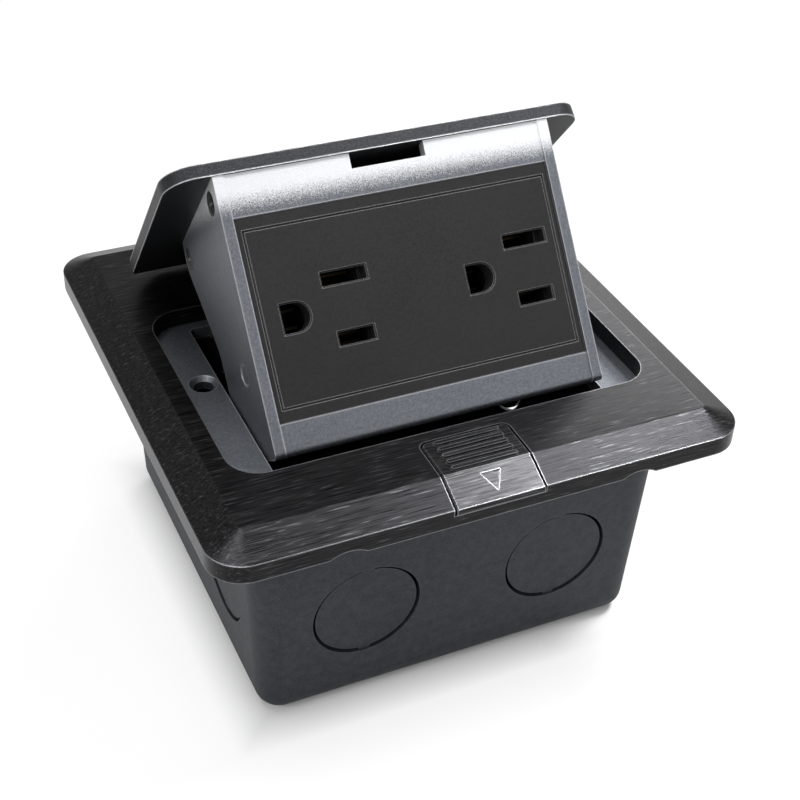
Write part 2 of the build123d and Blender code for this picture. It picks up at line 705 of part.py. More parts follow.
# Insulating face with two three-pin outlets
insert_mid = LOWER_BEZEL + INSERT_HEIGHT / 2
flange_half = arm_in - 0.5
flange_height = INSERT_HEIGHT + 2 * FLANGE_MARGIN
flange_back = BEZEL_THICKNESS + FLANGE_THICKNESS
slot_x = [-OUTLET_PITCH / 2 + OUTLET_SHIFT, OUTLET_PITCH / 2 + OUTLET_SHIFT]
neutral_t = insert_mid + BLADE_PITCH / 2 - 0.6
hot_t = neutral_t - BLADE_PITCH
earth_t = (neutral_t + hot_t) / 2


def outlet_holes(grow):
    """The slots of both outlets in the current sketch, all sides moved out by an amount."""
    for x in slot_x:
        with Locations((x, neutral_t)):
            Rectangle(NEUTRAL_SLOT + 2 * grow, SLOT_HEIGHT + 2 * grow)
        with Locations((x, hot_t)):
            Rectangle(HOT_SLOT + 2 * grow, SLOT_HEIGHT + 2 * grow)
        with Locations((x - EARTH_OFFSET, earth_t)):
            Circle(EARTH_HOLE / 2 + grow)
            Rectangle(EARTH_HOLE / 2 + grow, EARTH_HOLE + 2 * grow, align=(Align.MAX, Align.CENTER))


with BuildPart() as receptacle_face:
    with BuildSketch(behind_face(FACE_SINK)):
        with Locations((0, insert_mid)):
            Rectangle(2 * insert_half, INSERT_HEIGHT - 2 * MODULE_SEAM)
    extrude(amount=FACE_SINK - BEZEL_THICKNESS)
    with BuildSketch(behind_face(BEZEL_THICKNESS)):
        with Locations((0, insert_mid)):
            Rectangle(2 * flange_half, flange_height)
        with Locations(*fixing_places):
            Circle(1.35, mode=Mode.SUBTRACT)
    extrude(amount=-FLANGE_THICKNESS)
    with BuildSketch(behind_face(FACE_SINK)):
        outlet_holes(0)
    extrude(amount=-flange_back, mode=Mode.SUBTRACT)
    with BuildSketch(behind_face(FACE_SINK)):
        outlet_holes(MOUTH_CHAMFER)
    extrude(amount=-MOUTH_CHAMFER, taper=45, mode=Mode.SUBTRACT)
    # Fine groove round the field of the outlets
    groove_width = 2 * (insert_half - GROOVE_INSET)
    groove_height = INSERT_HEIGHT - GROOVE_BOTTOM_INSET * 2
    with BuildSketch(behind_face(FACE_SINK)):
        with Locations((0, insert_mid)):
            Rectangle(groove_width, groove_height)
            Rectangle(groove_width - 2 * GROOVE_WIDTH, groove_height - 2 * GROOVE_WIDTH, mode=Mode.SUBTRACT)
    extrude(amount=-GROOVE_DEPTH, mode=Mode.SUBTRACT)
finish(receptacle_face, "receptacle_face")

with BuildPart() as receptacle_screws:
    for x, t in fixing_places:
        origin = behind_face(flange_back).origin + Vector(x, 0, 0) + FACE.y_dir * t
        seat = Plane(origin=origin, x_dir=(1, 0, 0), z_dir=FACE.z_dir)
        add_screw(seat, 2.1, 1.5, 1.2, FLANGE_THICKNESS + 1.8)
finish(receptacle_screws, "receptacle_screws")


# Insulating body behind the face, with a cell for each contact and channels for the strips at its back
body_back = flange_back + BODY_DEPTH
strip_depth = body_back - CONTACT_STRIP
earth_strip_width = CONTACT_WIDTH - 0.6
strip_low, strip_high = slot_x[0] - 3.5, slot_x[1] + 3.5
poles = {"hot": (hot_t, -1), "neutral": (neutral_t, 1)}
earth_terminal = (-8.0, earth_t)
cover_places = [(-28.5, insert_mid + 13.5), (28.5, insert_mid - 14.0)]


def terminals(pole):
    """Places of a live pole's two terminal screws."""
    t, out = poles[pole]
    return [(TERMINAL_X + side * TERMINAL_PITCH / 2, t + out * TERMINAL_OUT) for side in (-1, 1)]


all_terminals = terminals("hot") + terminals("neutral") + [earth_terminal]


def strip_outline(pole, grow):
    """A live pole's flat strip with its terminal pad, in the current sketch."""
    t, out = poles[pole]
    with Locations(((strip_low + strip_high) / 2, t)):
        Rectangle(strip_high - strip_low + 2 * grow, CONTACT_WIDTH + 2 * grow)
    with Locations((TERMINAL_X, t + out * TERMINAL_OUT)):
        Rectangle(TERMINAL_PITCH + TERMINAL_PAD + 2 * grow, TERMINAL_PAD + 2 * grow)


def earth_outline(grow):
    """The earth strip, in the current sketch."""
    with Locations(((strip_low + strip_high) / 2 - EARTH_OFFSET, earth_t)):
        Rectangle(strip_high - strip_low + 2 * grow, earth_strip_width + 2 * grow)


def leaves(x, t, half_gap, width):
    """A pair of contact leaves, in the current sketch."""
    for side in (-1, 1):
        with Locations((x, t + side * (half_gap + CONTACT_LEAF / 2))):
            Rectangle(width, CONTACT_LEAF)


with BuildPart() as receptacle_body:
    with BuildSketch(behind_face(flange_back)):
        with Locations((0, insert_mid)):
            RectangleRounded(BODY_WIDTH, BODY_HEIGHT, BODY_CORNER_R)
    extrude(amount=-BODY_DEPTH)
    with BuildSketch(behind_face(flange_back)):
        cell = CONTACT_GAP + 2 * CONTACT_LEAF + 2 * CELL_SLACK
        for x in slot_x:
            with Locations((x, neutral_t), (x, hot_t)):
                Rectangle(9.0, cell)
            with Locations((x - EARTH_OFFSET, earth_t)):
                Rectangle(EARTH_HOLE + 2 * CELL_SLACK, EARTH_HOLE + 2 * CELL_SLACK)
    extrude(amount=-BODY_DEPTH, mode=Mode.SUBTRACT)
    with BuildSketch(behind_face(strip_depth)):
        for pole in poles:
            strip_outline(pole, 0.1)
        earth_outline(0.1)
    extrude(amount=-CONTACT_STRIP, mode=Mode.SUBTRACT)
    with BuildSketch(behind_face(strip_depth - 4.6)):
        with Locations(*all_terminals):
            Circle(1.6)
        with Locations(*cover_places):
            Circle(1.25)
    extrude(amount=-5.4, mode=Mode.SUBTRACT)
finish(receptacle_body, "receptacle_body")

for pole in poles:
    with BuildPart() as contact:
        with BuildSketch(behind_face(strip_depth)):
            strip_outline(pole, 0)
            with Locations(*terminals(pole)):
                Circle(1.6, mode=Mode.SUBTRACT)
        extrude(amount=-CONTACT_STRIP)
        with BuildSketch(behind_face(flange_back + LEAF_SINK)):
            for x in slot_x:
                leaves(x, poles[pole][0], CONTACT_GAP / 2, 7.0)
        extrude(amount=LEAF_SINK + CONTACT_STRIP - BODY_DEPTH)
    finish(contact, f"{pole}_contact")

with BuildPart() as ground_contact:
    with BuildSketch(behind_face(strip_depth)):
        earth_outline(0)
        with Locations(earth_terminal):
            Circle(1.6, mode=Mode.SUBTRACT)
    extrude(amount=-CONTACT_STRIP)
    with BuildSketch(behind_face(flange_back + LEAF_SINK)):
        for x in slot_x:
            leaves(x - EARTH_OFFSET, earth_t, 1.6, 4.5)
    extrude(amount=LEAF_SINK + CONTACT_STRIP - BODY_DEPTH)
finish(ground_contact, "ground_contact")

with BuildPart() as rear_cover:
    with BuildSketch(behind_face(body_back)):
        with Locations((0, insert_mid)):
            RectangleRounded(BODY_WIDTH, BODY_HEIGHT, BODY_CORNER_R)
        with Locations(*all_terminals):
            Circle(3.4, mode=Mode.SUBTRACT)
        with Locations(*cover_places):
            Circle(1.45, mode=Mode.SUBTRACT)
    extrude(amount=-COVER_THICKNESS)
    chamfer(rear_cover.faces().sort_by(Axis(FACE.origin, -FACE.z_dir))[-1].outer_wire().edges(), 0.8)
finish(rear_cover, "rear_cover")


def seat_behind(depth, x, t):
    """A screw seat on the module's back, facing the front."""
    origin = behind_face(depth).origin + Vector(x, 0, 0) + FACE.y_dir * t
    return Plane(origin=origin, x_dir=(1, 0, 0), z_dir=FACE.z_dir)


with BuildPart() as cover_screws:
    for x, t in cover_places:
        add_screw(seat_behind(body_back + COVER_THICKNESS, x, t), 2.2, 1.4, 1.2, COVER_THICKNESS + 5.0)
finish(cover_screws, "cover_screws")

terminal_groups = {"hot": terminals("hot"), "neutral": terminals("neutral"), "ground": [earth_terminal]}
for pole, places in terminal_groups.items():
    with BuildPart() as terminal_screws:
        for x, t in places:
            add_screw(seat_behind(body_back, x, t), 2.8, 2.0, 1.5, 5.0, slot=True)
    finish(terminal_screws, f"{pole}_terminal_screws")

# Latch: the button on the bevel, the slide under it with its tongue, two screws and two springs
slide_bottom = track_floor + SLIDE_GAP
slide_top = slide_bottom + SLIDE_THICKNESS
bevel_start = plate_half - BEVEL_WIDTH
button_front = plate_half + 1.5 * BUTTON_PROUD
lip_in = plate_half - PLATE_WALL / 2
post_y = -(BUTTON_BACK + 8.0)
with BuildPart() as latch_button:
    with BuildSketch(Plane.YZ.offset(-BUTTON_WIDTH / 2)):
        with BuildLine():
            Polyline(
                (-BUTTON_BACK, plate_top + BUTTON_PROUD),
                (-bevel_start - BUTTON_PROUD / 2, plate_top + BUTTON_PROUD),
                (-button_front, plate_edge + BUTTON_PROUD),
                (-button_front, plate_edge - BUTTON_LIP),
                (-lip_in, plate_edge - BUTTON_LIP),
                (-lip_in, plate_edge - BUTTON_THICKNESS / 2),
                (-bevel_start, plate_top - BUTTON_THICKNESS),
                (-BUTTON_BACK, plate_top - BUTTON_THICKNESS),
                (-BUTTON_BACK, plate_top + BUTTON_PROUD),
            )
        make_face()
    extrude(amount=BUTTON_WIDTH)
    back_edges = latch_button.edges().filter_by(Axis.Z).sort_by(Axis.Y)[-2:]
    fillet(back_edges, BUTTON_CORNER_R)
    crest = latch_button.edges().filter_by_position(
        Axis.Z, plate_edge + BUTTON_PROUD - 0.01, plate_top + BUTTON_PROUD + 0.01
    )
    crest = [edge for edge in crest if abs(edge.center().X) > 1 or edge.center().Y > -BUTTON_BACK - 1]
    chamfer(crest, BUTTON_EDGE)
    with BuildSketch(Plane.XY.offset(slide_top)):
        with Locations((-5, post_y), (5, post_y)):
            Circle(2.0)
    extrude(amount=plate_top - BUTTON_THICKNESS / 2 - slide_top)
    with BuildSketch(Plane.XY.offset(slide_top)):
        with Locations((-5, post_y), (5, post_y)):
            Circle(0.95)
    extrude(amount=2.2, mode=Mode.SUBTRACT)
    # Finger ribs on the flat and an arrow on the bevel
    with BuildSketch(Plane.XY.offset(plate_top)):
        with Locations(*[(0, -BUTTON_BACK - 1.4 - RIB_PITCH * i) for i in range(RIB_COUNT)]):
            SlotOverall(RIB_LENGTH, RIB_WIDTH)
    extrude(amount=BUTTON_PROUD + RIB_HEIGHT)
    bevel_mid = Plane(
        origin=(0, -(bevel_start + plate_half) / 2, (plate_top + plate_edge) / 2 + BUTTON_PROUD),
        x_dir=(1, 0, 0),
        z_dir=(0, -BEVEL_RISE, BEVEL_WIDTH),
    )
    with BuildSketch(bevel_mid.offset(-ARROW_DEPTH)):
        with BuildLine():
            Polyline(
                (-ARROW_SIZE / 2, ARROW_SIZE / 2),
                (ARROW_SIZE / 2, ARROW_SIZE / 2),
                (0, -ARROW_SIZE / 2),
                (-ARROW_SIZE / 2, ARROW_SIZE / 2),
            )
        make_face()
    extrude(amount=2 * ARROW_DEPTH, mode=Mode.SUBTRACT)
finish(latch_button, "latch_button")

post_seats = [Plane(origin=(x, post_y, slide_bottom)) for x in (-5, 5)]
tongue_tip = WINDOW_FRONT - TONGUE_REACH
with BuildPart() as latch_slide:
    with BuildSketch(Plane.XY.offset(slide_bottom)):
        with Locations((0, -SLIDE_FRONT)):
            Rectangle(SLIDE_WIDTH, SLIDE_FRONT - tongue_tip, align=(Align.CENTER, Align.MIN))
        with Locations((0, -WING_BACK)):
            Rectangle(2 * wing_half, WING_DEPTH, align=(Align.CENTER, Align.MAX))
    extrude(amount=SLIDE_THICKNESS)
    tip_edge = latch_slide.faces().sort_by(Axis.Y)[-1].edges().sort_by(Axis.Z)[-1]
    chamfer(tip_edge, SLIDE_THICKNESS / 2)
    with Locations(*[Plane(origin=seat.origin, z_dir=(0, 0, -1)) for seat in post_seats]):
        CounterSinkHole(1.0, 2.0, SLIDE_THICKNESS)
finish(latch_slide, "latch_slide")

with BuildPart() as latch_screws:
    for seat in post_seats:
        add_screw(seat, 1.8, 0.8, 0.9, SLIDE_THICKNESS + 2.0, sunk=True)
finish(latch_screws, "latch_screws")

spring_low = track_floor + LATCH_SPRING_R + LATCH_SPRING_WIRE
spring_length = spring_front - spring_back - LATCH_SPRING_WIRE / 2
for side, name in ((-1, "latch_spring_left"), (1, "latch_spring_right")):
    with BuildPart() as latch_spring:
        coil_start = Plane(
            origin=(side * spring_x, -spring_front, spring_low), x_dir=(1, 0, 0), z_dir=(0, 1, 0)
        )
        turn_length = spring_length / LATCH_SPRING_TURNS
        coil = coil_start.location * Edge.make_helix(turn_length, spring_length, LATCH_SPRING_R)
        with BuildSketch(Plane(origin=coil @ 0, z_dir=coil % 0)):
            RegularPolygon(LATCH_SPRING_WIRE / 2, 6)
        sweep(path=coil, is_frenet=True)
    finish(latch_spring, name)

for part in parts:
    print(part.label, round(part.volume), [round(v, 1) for v in part.bounding_box().size])
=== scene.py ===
import bpy
from mathutils import Matrix, Vector

# Pop-up floor socket box, dressed for the picture. Metres, +Z up, -Y the front with the button.
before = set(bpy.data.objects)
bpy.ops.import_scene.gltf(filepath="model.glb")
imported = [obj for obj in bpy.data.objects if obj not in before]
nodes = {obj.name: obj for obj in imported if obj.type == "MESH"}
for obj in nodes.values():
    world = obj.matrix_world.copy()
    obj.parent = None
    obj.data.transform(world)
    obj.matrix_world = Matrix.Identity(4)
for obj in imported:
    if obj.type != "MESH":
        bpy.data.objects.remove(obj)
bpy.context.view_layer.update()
print("frame loaded,", len(nodes), "pieces")


# Shader building

class Sock:  # wraps a socket, so that values can be written as sums and products
    def __init__(self, shader, out):
        self.shader, self.out = shader, out

    def __add__(self, other):
        return self.shader.maths("ADD", self, other)

    def __radd__(self, other):
        return self.shader.maths("ADD", other, self)

    def __sub__(self, other):
        return self.shader.maths("SUBTRACT", self, other)

    def __rsub__(self, other):
        return self.shader.maths("SUBTRACT", other, self)

    def __mul__(self, other):
        return self.shader.maths("MULTIPLY", self, other)

    def __rmul__(self, other):
        return self.shader.maths("MULTIPLY", other, self)

    def __getitem__(self, name):
        return Sock(self.shader, self.out.node.outputs[name])


class Shader:  # the nodes of one material, or of the world
    def __init__(self, owner, outputKind="ShaderNodeOutputMaterial"):
        self.owner = owner
        owner.use_nodes = True
        self.tree = owner.node_tree
        self.tree.nodes.clear()
        self.output = self.tree.nodes.new(outputKind)

    def node(self, kind, settings=None, inputs=None, out=0):
        made = self.tree.nodes.new(kind)
        for key, value in (settings or {}).items():
            setattr(made, key, value)
        for key, value in (inputs or {}).items():
            socket = made.inputs[key]
            if isinstance(value, Sock):
                self.tree.links.new(value.out, socket)
            elif hasattr(value, "__len__") and len(value) == 3 and socket.type == "RGBA":
                socket.default_value = (*value, 1)
            else:
                socket.default_value = value
        return Sock(self, made.outputs[out])

    def maths(self, operation, *values):
        return self.node("ShaderNodeMath", {"operation": operation}, dict(enumerate(values)))

    def place(self):
        return self.node("ShaderNodeTexCoord")["Object"]

    def stretched(self, vector, scale):
        return self.node("ShaderNodeVectorMath", {"operation": "MULTIPLY"}, {0: vector, 1: scale})

    def dot(self, first, second):
        vectors = {0: first, 1: second}
        return self.node("ShaderNodeVectorMath", {"operation": "DOT_PRODUCT"}, vectors, out="Value")

    def noise(self, vector, scale, detail=2.0, roughness=0.5):
        return self.node("ShaderNodeTexNoise", {}, {
            "Vector": vector, "Scale": scale, "Detail": detail, "Roughness": roughness})

    def spread(self, value, low, high, toLow=0.0, toHigh=1.0):
        return self.node("ShaderNodeMapRange", {"clamp": True}, {
            "Value": value, "From Min": low, "From Max": high, "To Min": toLow, "To Max": toHigh})

    def blendColour(self, factor, first, second):
        return self.node("ShaderNodeMix", {"data_type": "RGBA"}, {0: factor, 6: first, 7: second}, out=2)

    # Lighter colour along the edges: a painted highlight, where edges would catch the light
    def paintedEdgeHighlight(self, width, strength, span=(0.02, 0.25), samples=4):
        # How far the rounded normal leaves the flat one, which is most on the edges
        rounded = self.node("ShaderNodeBevel", {"samples": samples}, {"Radius": width})
        flat = self.node("ShaderNodeNewGeometry")["Normal"]
        return self.spread(1 - self.dot(rounded, flat), *span) * strength

    def bump(self, height, strength, distance):
        return self.node("ShaderNodeBump", {}, {"Height": height, "Strength": strength, "Distance": distance})

    def close(self, surface):
        self.tree.links.new(surface.out, self.output.inputs["Surface"])
        return self.owner

    def finish(self, colour, metallic, roughness, normal, **fixed):
        return self.close(self.node("ShaderNodeBsdfPrincipled", {}, {
            "Base Color": colour, "Metallic": metallic, "Roughness": roughness, "Normal": normal, **fixed}))


def newShader(name):
    return Shader(bpy.data.materials.new(name))


def dress(material, *names):
    for name in names:
        piece = nodes[name]
        piece.data.materials.clear()
        piece.data.materials.append(material)


noiseSpan = (0.3, 0.7)  # where most values of a noise lie

# Brushed black metal of the cover plate, the arms and the button

plateLook = {
    "dark": (0.005, 0.005, 0.006),
    "light": (0.026, 0.026, 0.0275),
    "contrast": (0.38, 0.62),
    "streakLength": 85.0,  # noise per metre along the brushing
    "streakWidth": 4600.0,  # and across it
    "fineDetail": (3.0, 0.6),
    "broadLength": 2.0,  # the broader streaks, against the fine ones
    "broadWidth": 0.5,
    "fineShare": 0.65,
    "scratch": (0.1, 0.1, 0.105),
    "scratchSpan": (0.62, 0.72),
    "scratchStrength": 0.6,
    "patches": 28.0,
    "patchShare": 0.3,
    "glossSpan": (0.1, 0.9),
    "roughness": (0.26, 0.42),
    "metallic": 0.9,
    # the bright edge colour is a painted highlight along the plate's edges
    "edge": (0.42, 0.42, 0.44),
    "edgeWidth": 0.0005,
    "edgeStrength": 0.75,
    "grainDepth": 0.6,
    "grainHeight": 0.00006,
}
# The button: the plate's brushed metal painted lighter, a painted sheen for its strong reflections; its
# bright edge is a painted highlight
buttonPaintedSheenLook = {
    **plateLook,
    "dark": (0.014, 0.014, 0.015),
    "light": (0.045, 0.045, 0.047),
    "roughness": (0.22, 0.34),
    "edge": (0.5, 0.5, 0.52),
}


def brushing(s, where, look):  # colour, roughness and relief of the brushed grain
    along, across = look["streakLength"], look["streakWidth"]
    longer, wider = along * look["broadLength"], across * look["broadWidth"]
    fine = s.noise(s.stretched(where, (along, across, across)), 1.0, *look["fineDetail"])
    broad = s.noise(s.stretched(where, (longer, wider, wider)), 1.0)
    patches = s.noise(where, look["patches"])
    grain = fine * look["fineShare"] + broad * (1 - look["fineShare"])
    shade = s.spread(grain, *look["contrast"])
    colour = s.blendColour(shade, look["dark"], look["light"])
    scratched = s.spread(broad, *look["scratchSpan"]) * look["scratchStrength"]
    colour = s.blendColour(scratched, colour, look["scratch"])
    gloss = shade * (1 - look["patchShare"]) + patches * look["patchShare"]
    rough = s.spread(gloss, *look["glossSpan"], *look["roughness"])
    return colour, rough, grain


def brushedBlack(name, look):
    s = newShader(name)
    colour, rough, grain = brushing(s, s.place(), look)
    colour = s.blendColour(s.paintedEdgeHighlight(look["edgeWidth"], look["edgeStrength"]), colour, look["edge"])
    return s.finish(colour, look["metallic"], rough, s.bump(grain, look["grainDepth"], look["grainHeight"]))


dress(brushedBlack("brushedBlackMetal", plateLook), "cover_plate", "hinge_arm_left", "hinge_arm_right")
dress(brushedBlack("brushedButtonPaintedSheen", buttonPaintedSheenLook), "latch_button")
print("plate dressed")

# Cast metal: frame, module housing, rivets

castLook = {
    "dark": (0.095, 0.103, 0.117),
    "light": (0.2, 0.213, 0.235),
    "contrast": (0.36, 0.64),
    "grain": (4200.0, 3.0, 0.7),  # noise per metre, its detail and roughness
    "pits": (1700.0, 2.0, 0.6),
    "cloud": (35.0, 3.0, 0.55),
    "grainShare": 0.6,
    "pitShare": 0.3,
    "cloudShare": 0.1,
    "roughness": (0.34, 0.55),
    "metallic": 0.85,
    # the bright edge colour is a painted highlight along the cast edges
    "edge": (0.6, 0.61, 0.64),
    "edgeWidth": 0.0006,
    "edgeStrength": 0.85,
    "reliefOfGrain": 0.6,
    "reliefStrength": 0.5,
    "reliefHeight": 0.00012,
}
# Painted highlight: a band of lighter colour towards the top of the housing's front
housingPaintedGlare = {
    "up": (0.0, 0.6032, 0.7976),  # up the housing's front while it stands open
    "from": 0.0795,
    "to": 0.083,
    "ragged": 0.009,
    "colour": (0.78, 0.79, 0.81),
}


def castMetal(name, look, glare=None):
    s = newShader(name)
    where = s.place()
    grain = s.noise(where, *look["grain"])
    pits = s.noise(where, *look["pits"])
    cloud = s.noise(where, *look["cloud"])
    tone = grain * look["grainShare"] + pits * look["pitShare"] + cloud * look["cloudShare"]
    colour = s.blendColour(s.spread(tone, *look["contrast"]), look["dark"], look["light"])
    colour = s.blendColour(s.paintedEdgeHighlight(look["edgeWidth"], look["edgeStrength"]), colour, look["edge"])
    if glare:  # painted highlight: the housing's colour is made brighter towards its top
        height = s.dot(where, glare["up"]) + (grain - 0.5) * glare["ragged"]
        colour = s.blendColour(s.spread(height, glare["from"], glare["to"]), colour, glare["colour"])
    rough = s.spread(grain, *noiseSpan, *look["roughness"])
    relief = grain * look["reliefOfGrain"] + pits * (1 - look["reliefOfGrain"])
    normal = s.bump(relief, look["reliefStrength"], look["reliefHeight"])
    return s.finish(colour, look["metallic"], rough, normal)


dress(castMetal("castGrey", castLook), "mounting_frame", "arm_rivets")
dress(castMetal("castHousing", castLook, housingPaintedGlare), "module_frame")

# Lid: brushed like the plate on top, as cast below

lidLook = {
    "dark": (0.009, 0.0095, 0.011),
    "light": (0.038, 0.039, 0.043),
    "contrast": (0.36, 0.64),
    "grain": (3600.0, 3.0, 0.7),
    "castRoughness": 0.5,
    "metallic": 0.8,
    # the bright edge colour is a painted highlight along the lid's rim
    "edge": (0.75, 0.75, 0.77),
    "edgeWidth": 0.0006,
    "edgeStrength": 0.85,
    "reliefHeight": 0.00008,
    "topFaces": (0.0, 0.773, 0.635),  # which way the lid's top looks while it stands open
    "topSpan": (0.8, 0.9),
}


def lidFinish(name, top, under):
    s = newShader(name)
    where = s.place()
    brushed, rough, brushedGrain = brushing(s, where, top)
    castGrain = s.noise(where, *under["grain"])
    cast = s.blendColour(s.spread(castGrain, *under["contrast"]), under["dark"], under["light"])
    facing = s.node("ShaderNodeTexCoord")["Normal"]
    onTop = s.spread(s.dot(facing, under["topFaces"]), *under["topSpan"])
    colour = s.blendColour(onTop, cast, brushed)
    colour = s.blendColour(s.paintedEdgeHighlight(under["edgeWidth"], under["edgeStrength"]), colour, under["edge"])
    rough = under["castRoughness"] + onTop * (rough - under["castRoughness"])
    relief = castGrain + onTop * (brushedGrain - castGrain)
    normal = s.bump(relief, top["grainDepth"], under["reliefHeight"])
    return s.finish(colour, under["metallic"], rough, normal)


dress(lidFinish("lidFinish", plateLook, lidLook), "lid")
print("cast pieces dressed")

# Back box: dark blue-grey powder coat

boxLook = {
    "dark": (0.006, 0.007, 0.01),
    "light": (0.028, 0.031, 0.038),
    "contrast": (0.38, 0.62),
    "speckle": (2300.0, 2.0, 0.6),
    "peel": (500.0, 2.0, 0.5),
    "cloud": (22.0, 3.0, 0.5),
    "speckleShare": 0.6,
    "peelShare": 0.25,
    "cloudShare": 0.15,
    "roughness": (0.5, 0.68),
    "shine": 0.3,
    # the lighter edge colour is a painted highlight along the box's edges
    "edge": (0.084, 0.093, 0.114),
    "edgeWidth": 0.0005,
    "edgeStrength": 0.35,
    "reliefOfSpeckle": 0.5,
    "reliefStrength": 0.4,
    "reliefHeight": 0.0001,
}


def powderCoat(name, look):
    s = newShader(name)
    where = s.place()
    speckle = s.noise(where, *look["speckle"])
    peel = s.noise(where, *look["peel"])
    cloud = s.noise(where, *look["cloud"])
    tone = speckle * look["speckleShare"] + peel * look["peelShare"] + cloud * look["cloudShare"]
    colour = s.blendColour(s.spread(tone, *look["contrast"]), look["dark"], look["light"])
    colour = s.blendColour(s.paintedEdgeHighlight(look["edgeWidth"], look["edgeStrength"]), colour, look["edge"])
    rough = s.spread(speckle, *noiseSpan, *look["roughness"])
    relief = speckle * look["reliefOfSpeckle"] + peel * (1 - look["reliefOfSpeckle"])
    normal = s.bump(relief, look["reliefStrength"], look["reliefHeight"])
    return s.finish(colour, 0.0, rough, normal, **{"Specular IOR Level": look["shine"]})


dress(powderCoat("powderCoat", boxLook), "back_box")

# Black moulded plastic of the outlets

plasticLook = {
    "dark": (0.013, 0.013, 0.0135),
    "light": (0.018, 0.018, 0.0185),
    "contrast": (0.35, 0.65),
    "grain": 1800.0,
    "cloud": 60.0,
    "grainShare": 0.6,
    "roughness": (0.42, 0.54),
    "shine": 0.2,
    # the bright edge colour is a painted highlight along the slot edges
    "edge": (0.26, 0.26, 0.27),
    "edgeWidth": 0.0003,
    "edgeStrength": 0.85,
    "edgeSpan": (0.01, 0.2),
    "reliefStrength": 0.15,
    "reliefHeight": 0.00003,
}


def mouldedPlastic(name, look):
    s = newShader(name)
    where = s.place()
    grain = s.noise(where, look["grain"])
    cloud = s.noise(where, look["cloud"])
    tone = grain * look["grainShare"] + cloud * (1 - look["grainShare"])
    colour = s.blendColour(s.spread(tone, *look["contrast"]), look["dark"], look["light"])
    paintedRim = s.paintedEdgeHighlight(look["edgeWidth"], look["edgeStrength"], look["edgeSpan"])
    colour = s.blendColour(paintedRim, colour, look["edge"])
    rough = s.spread(grain, *noiseSpan, *look["roughness"])
    normal = s.bump(grain, look["reliefStrength"], look["reliefHeight"])
    return s.finish(colour, 0.0, rough, normal, **{"Specular IOR Level": look["shine"]})


dress(mouldedPlastic("mouldedPlastic", plasticLook), "receptacle_face", "receptacle_body", "rear_cover")

# Small metal pieces

platedLook = {
    "grain": (900.0, 2.0, 0.6),
    "stain": (90.0, 3.0, 0.6),
    "stainShare": 0.6,
    "contrast": (0.35, 0.65),
    "stainShade": 0.7,  # how much of the colour is left where it is stained
    "reliefStrength": 0.2,
    "reliefHeight": 0.00004,
}
smallMetals = {
    "platedSteel": {
        "colour": (0.42, 0.42, 0.44),
        "roughness": (0.22, 0.38),
        "metallic": 1.0,
        "pieces": ("plate_screws", "hinge_pin", "earth_washer", "lid_screws", "receptacle_screws",
                   "cover_screws", "neutral_terminal_screws"),
    },
    "springSteel": {
        "colour": (0.1, 0.1, 0.105),
        "roughness": (0.22, 0.38),
        "metallic": 1.0,
        "pieces": ("pin_clips", "torsion_spring_left", "torsion_spring_right", "latch_spring_left",
                   "latch_spring_right", "latch_slide", "latch_screws"),
    },
    "brass": {
        "colour": (0.45, 0.3, 0.12),
        "roughness": (0.22, 0.38),
        "metallic": 1.0,
        "pieces": ("earth_screw", "hot_terminal_screws"),
    },
    # brass contacts painted dark: painted shade for the shade deep inside the outlet slots
    "brassPaintedShade": {
        "colour": (0.05, 0.037, 0.02),
        "roughness": (0.45, 0.6),
        "metallic": 1.0,
        "pieces": ("hot_contact", "neutral_contact", "ground_contact"),
    },
    "greenScrew": {
        "colour": (0.03, 0.22, 0.07),
        "roughness": (0.3, 0.45),
        "metallic": 0.4,
        "pieces": ("ground_terminal_screws",),
    },
}


def platedMetal(name, metal, look):
    s = newShader(name)
    where = s.place()
    grain = s.noise(where, *look["grain"])
    stain = s.noise(where, *look["stain"])
    tone = grain * (1 - look["stainShare"]) + stain * look["stainShare"]
    stained = tuple(v * look["stainShade"] for v in metal["colour"])
    colour = s.blendColour(s.spread(tone, *look["contrast"]), stained, metal["colour"])
    rough = s.spread(stain, *noiseSpan, *metal["roughness"])
    normal = s.bump(grain, look["reliefStrength"], look["reliefHeight"])
    return s.finish(colour, metal["metallic"], rough, normal)


for metalName, metal in smallMetals.items():
    dress(platedMetal(metalName, metal, platedLook), *metal["pieces"])

# Foam gasket

foamLook = {
    "cells": (1400.0, 2.0, 0.7),
    "dark": (0.01, 0.01, 0.01),
    "light": (0.03, 0.03, 0.03),
    "contrast": (0.4, 0.6),
    "roughness": (0.8, 0.95),
    "reliefStrength": 0.5,
    "reliefHeight": 0.0002,
}


def foam(name, look):
    s = newShader(name)
    cells = s.noise(s.place(), *look["cells"])
    colour = s.blendColour(s.spread(cells, *look["contrast"]), look["dark"], look["light"])
    rough = s.spread(cells, *noiseSpan, *look["roughness"])
    return s.finish(colour, 0.0, rough, s.bump(cells, look["reliefStrength"], look["reliefHeight"]))


dress(foam("gasketFoam", foamLook), "rim_gasket")
print("materials done")

# Stage: pale floor and room that the camera sees as white

white = (1.0, 1.0, 1.0)
floorLook = {
    "size": 12.0,
    "colour": (0.9, 0.9, 0.9),
    "footprint": 0.045,  # dark below the box, as it stands on it
    "footprintFade": 0.01,
    "nearWhite": 0.12,  # out to here the floor keeps some shadow
    "farWhite": 0.4,  # and from here it is fully white
    "nearShare": 0.8,
}


